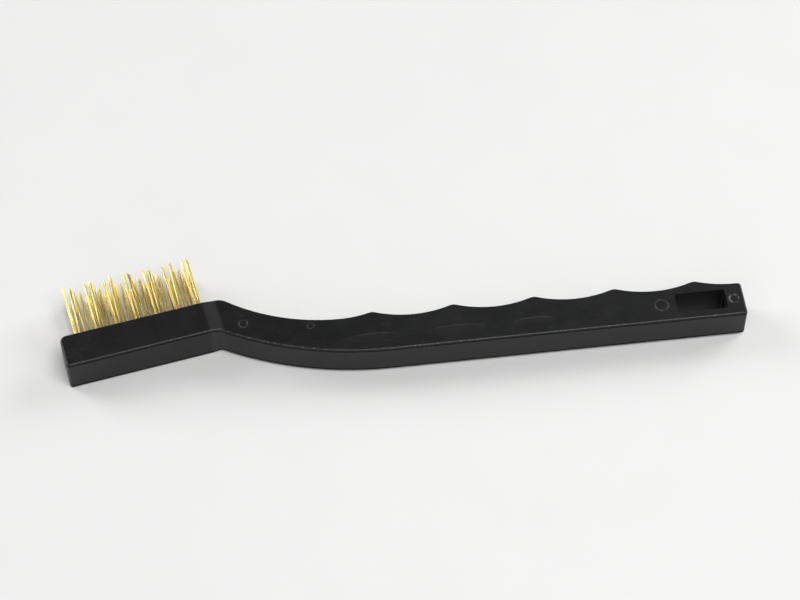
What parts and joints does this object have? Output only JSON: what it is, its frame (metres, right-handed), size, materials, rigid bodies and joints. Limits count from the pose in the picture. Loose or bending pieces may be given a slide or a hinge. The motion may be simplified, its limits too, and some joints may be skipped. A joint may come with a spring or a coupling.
{
  "type": "brass wire scratch brush",
  "caption": "Small scratch brush: bent one-piece plastic handle with finger scallops and a hanging slot, and a slim head set with flaring tufts of brass wire.",
  "frame": {"origin": "centre of the bounding box in X and Y, on the plane that the brush lies on", "axes": "+X along the straight back of the grip towards the hanging end, +Y the way the tufts point, +Z through the thickness of the handle"},
  "size_m": [0.175, 0.036, 0.01],
  "materials": {
    "handle_plastic": "satin black moulded plastic",
    "brass_wire": "bright drawn wire",
    "anchor_metal": "plain cut strip"
  },
  "bodies": {
    "root": {"handle": "handle_plastic", "tuft_lower_1": "brass_wire", "tuft_lower_2": "brass_wire", "tuft_lower_3": "brass_wire", "tuft_lower_4": "brass_wire", "tuft_lower_5": "brass_wire", "tuft_lower_6": "brass_wire", "tuft_lower_7": "brass_wire", "tuft_middle_1": "brass_wire", "tuft_middle_2": "brass_wire", "tuft_middle_3": "brass_wire", "tuft_middle_4": "brass_wire", "tuft_middle_5": "brass_wire", "tuft_middle_6": "brass_wire", "tuft_upper_1": "brass_wire", "tuft_upper_2": "brass_wire", "tuft_upper_3": "brass_wire", "tuft_upper_4": "brass_wire", "tuft_upper_5": "brass_wire", "tuft_upper_6": "brass_wire", "tuft_upper_7": "brass_wire", "anchor_lower_1": "anchor_metal", "anchor_lower_2": "anchor_metal", "anchor_lower_3": "anchor_metal", "anchor_lower_4": "anchor_metal", "anchor_lower_5": "anchor_metal", "anchor_lower_6": "anchor_metal", "anchor_lower_7": "anchor_metal", "anchor_middle_1": "anchor_metal", "anchor_middle_2": "anchor_metal", "anchor_middle_3": "anchor_metal", "anchor_middle_4": "anchor_metal", "anchor_middle_5": "anchor_metal", "anchor_middle_6": "anchor_metal", "anchor_upper_1": "anchor_metal", "anchor_upper_2": "anchor_metal", "anchor_upper_3": "anchor_metal", "anchor_upper_4": "anchor_metal", "anchor_upper_5": "anchor_metal", "anchor_upper_6": "anchor_metal", "anchor_upper_7": "anchor_metal"}
  },
  "joints": []
}
